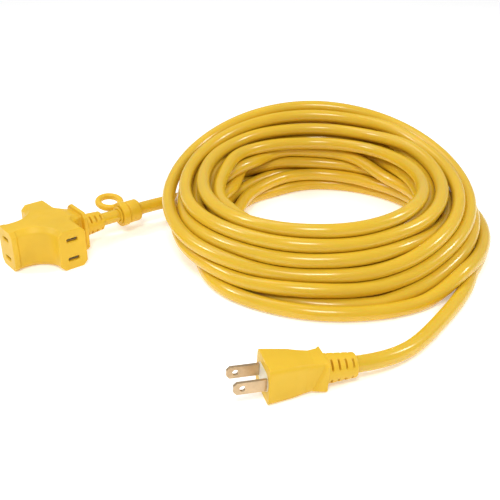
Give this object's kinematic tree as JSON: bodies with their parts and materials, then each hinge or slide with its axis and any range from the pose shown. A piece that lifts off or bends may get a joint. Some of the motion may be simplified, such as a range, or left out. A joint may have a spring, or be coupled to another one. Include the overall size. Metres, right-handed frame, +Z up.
{
  "type": "extension cord",
  "caption": "Extension cord: a cross-shaped socket tap with outlets on its end and sides, a coiled lead with a swivelling hanging ring, and a flat-bladed plug.",
  "frame": {"origin": "on the floor under the middle of the tap's own pieces, halfway from the end socket's face to the end of its cord guard", "axes": "+X along the tap from the end socket to the cord, +Z up, side sockets facing -Y and +Y"},
  "size_m": [0.2886, 0.2468, 0.0615],
  "materials": {
    "yellow_pvc": "satin",
    "cord_pvc": "gloss",
    "ivory_plastic": "matt",
    "contact_brass": "satin",
    "blade_brass": "brushed",
    "copper": "satin",
    "black_pvc": "satin",
    "white_pvc": "satin"
  },
  "bodies": {
    "cord_and_ends": {"tap_overmould": "yellow_pvc", "tap_core": "ivory_plastic", "tap_core_upper_lid": "ivory_plastic", "tap_core_lower_lid": "ivory_plastic", "line_bus_bar": "contact_brass", "neutral_bus_bar": "contact_brass", "end_line_contact": "contact_brass", "end_neutral_contact": "contact_brass", "front_line_contact": "contact_brass", "front_neutral_contact": "contact_brass", "back_line_contact": "contact_brass", "back_neutral_contact": "contact_brass", "tap_crimps": "contact_brass", "tap_bare_conductors": "copper", "tap_line_wire": "black_pvc", "tap_neutral_wire": "white_pvc", "ring_sleeve": "yellow_pvc", "cord_tap_lead": "cord_pvc", "cord_coil": "cord_pvc", "cord_plug_lead": "cord_pvc", "plug_overmould": "yellow_pvc", "plug_blade_holder": "ivory_plastic", "plug_line_blade": "blade_brass", "plug_neutral_blade": "blade_brass", "plug_crimps": "contact_brass", "plug_bare_conductors": "copper", "plug_line_wire": "black_pvc", "plug_neutral_wire": "white_pvc"},
    "hanging_ring": {"hang_ring": "yellow_pvc"}
  },
  "joints": [
    {"name": "ring_swivel", "type": "hinge", "parent": "cord_and_ends", "child": "hanging_ring", "pos_m": [0.0483, 0, 0.0129], "axis": [1, 0, 0], "range_deg": [-34, 120]}
  ]
}
